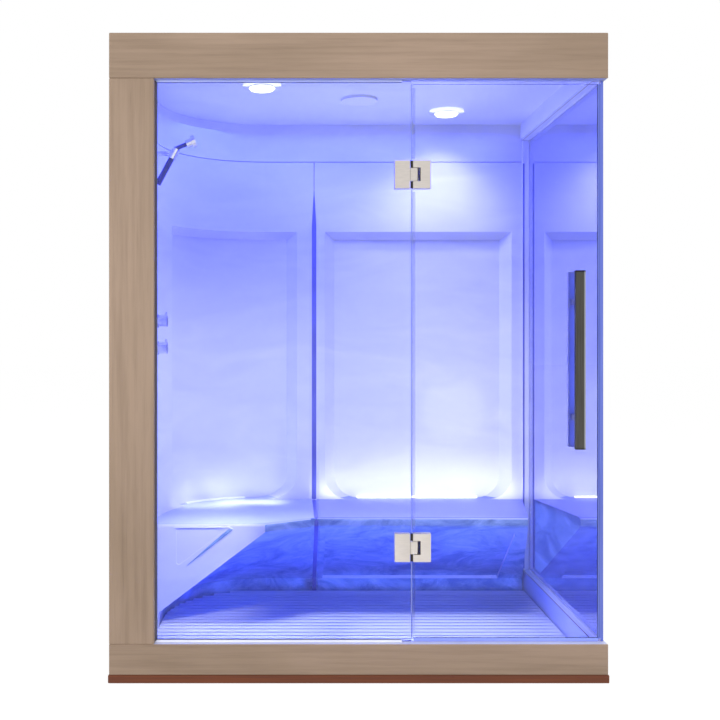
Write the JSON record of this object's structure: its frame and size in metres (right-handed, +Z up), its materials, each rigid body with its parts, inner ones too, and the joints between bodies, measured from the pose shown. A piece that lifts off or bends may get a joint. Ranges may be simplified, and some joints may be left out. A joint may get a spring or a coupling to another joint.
{
  "type": "steam room",
  "caption": "Glazed steam room cabin with timber frame, moulded acrylic corner and straight seats, hinged glass door, shower fittings and slatted floor.",
  "frame": {"origin": "on the floor, in the middle of the timber frame's footprint", "axes": "+X to the right seen from the door, +Y from the door to the back wall, +Z up"},
  "size_m": [1.618, 1.067, 2.1],
  "materials": {
    "oak_veneer": "matt limed oak veneer",
    "dark_stain": "dark red-brown stained edge",
    "plain_board": "plain coated board",
    "white_profile": "white powder coat",
    "acrylic": "gloss white acrylic",
    "slat_white": "satin white",
    "clear_glass": "clear toughened glass",
    "side_glass": "blue tinted toughened glass",
    "channel_metal": "dark satin anodised",
    "clear_seal": "translucent",
    "satin_nickel": "satin nickel plate",
    "handle_grey": "satin grey-brown coat",
    "standoff_steel": "brushed",
    "chrome": "polished chrome",
    "grip_black": "satin black",
    "valve_brass": "cast",
    "bezel_white": "gloss white",
    "lamp_lens": "frosted, lit",
    "lamp_body": "moulded",
    "led_diffuser": "opal diffuser, lit",
    "casing_steel": "sheet casing",
    "copper": "drawn copper"
  },
  "bodies": {
    "cabin": {"plinth_front": "oak_veneer", "plinth_right": "oak_veneer", "front_stile": "oak_veneer", "header_front": "oak_veneer", "header_right": "oak_veneer", "header_left": "oak_veneer", "header_back": "oak_veneer", "base_board": "dark_stain", "left_outer_panel": "plain_board", "back_panel": "plain_board", "roof_panel": "plain_board", "wall_battens": "plain_board", "corner_post": "white_profile", "side_glass_channels": "white_profile", "wall_panel_left": "acrylic", "wall_panel_right": "acrylic", "ceiling_dome": "acrylic", "ceiling_skirt": "acrylic", "shower_tray": "acrylic", "floor_slats": "slat_white", "slat_bearers": "slat_white", "fixed_glass": "clear_glass", "side_glass": "side_glass", "fixed_glass_channels": "channel_metal", "hinge_side_seal": "clear_seal", "strike_seal": "clear_seal", "hinge_lower_fixed_leaf": "satin_nickel", "hinge_lower_pin": "satin_nickel", "hinge_upper_fixed_leaf": "satin_nickel", "hinge_upper_pin": "satin_nickel", "control_roses": "chrome", "shower_bracket": "chrome", "steam_outlet": "chrome", "waste_outlet": "chrome", "shower_valve": "valve_brass", "downlight_bezels": "bezel_white", "ceiling_vent": "bezel_white", "downlight_lenses": "lamp_lens", "downlight_bodies": "lamp_body", "light_strip_left": "led_diffuser", "light_strip_right": "led_diffuser", "steam_generator": "casing_steel", "steam_pipe": "copper"},
    "door": {"door_glass": "clear_glass", "door_sweep": "clear_seal", "door_edge_seal": "clear_seal", "hinge_lower_door_leaf": "satin_nickel", "hinge_upper_door_leaf": "satin_nickel", "handle_bar_outer": "handle_grey", "handle_bar_inner": "standoff_steel", "handle_standoffs": "standoff_steel"},
    "hand_shower": {"shower_holder": "chrome", "shower_grip": "grip_black", "shower_head": "chrome"},
    "lower_control": {"control_knob_lower": "chrome"},
    "upper_control": {"control_knob_upper": "chrome"}
  },
  "joints": [
    {"name": "door_swing", "type": "hinge", "parent": "cabin", "child": "door", "pos_m": [0.186, -0.493, 1.04], "axis": [0, 0, -1], "range_deg": [0, 95]},
    {"name": "lower_control_turn", "type": "hinge", "parent": "cabin", "child": "lower_control", "pos_m": [-0.7, -0.085, 1.075], "axis": [1, 0, 0], "range_deg": [-90, 90]},
    {"name": "upper_control_turn", "type": "hinge", "parent": "cabin", "child": "upper_control", "pos_m": [-0.7, -0.085, 1.175], "axis": [1, 0, 0], "range_deg": [-90, 90]},
    {"name": "hand_shower_tilt", "type": "hinge", "parent": "cabin", "child": "hand_shower", "pos_m": [-0.653, -0.085, 1.795], "axis": [1, 0, 0], "range_deg": [-40, 40]}
  ]
}
